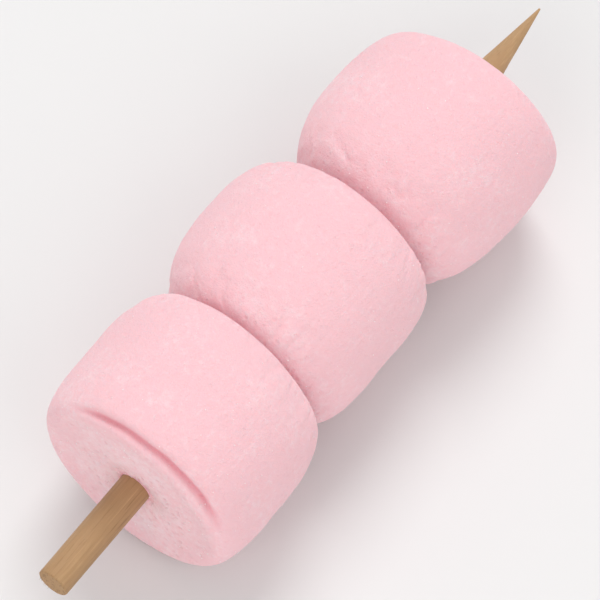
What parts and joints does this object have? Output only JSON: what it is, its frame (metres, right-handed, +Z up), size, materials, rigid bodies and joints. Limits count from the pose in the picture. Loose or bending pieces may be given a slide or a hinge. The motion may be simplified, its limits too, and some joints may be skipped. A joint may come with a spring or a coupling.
{
  "type": "marshmallow skewer",
  "caption": "Pink marshmallows threaded on a short pointed wooden skewer, lying down, with a bare grip end and the point showing.",
  "frame": {"origin": "on the plane the marshmallows lie on, under the middle of the skewer", "axes": "+X along the skewer from its blunt end to its point, +Z up from the plane it lies on"},
  "size_m": [0.0926, 0.0288, 0.0276],
  "materials": {
    "skewer_wood": "plain, dry, fine straight grain",
    "pink_marshmallow": null
  },
  "bodies": {
    "root": {"skewer": "skewer_wood", "marshmallow_1": "pink_marshmallow", "marshmallow_2": "pink_marshmallow", "marshmallow_3": "pink_marshmallow"}
  },
  "joints": []
}
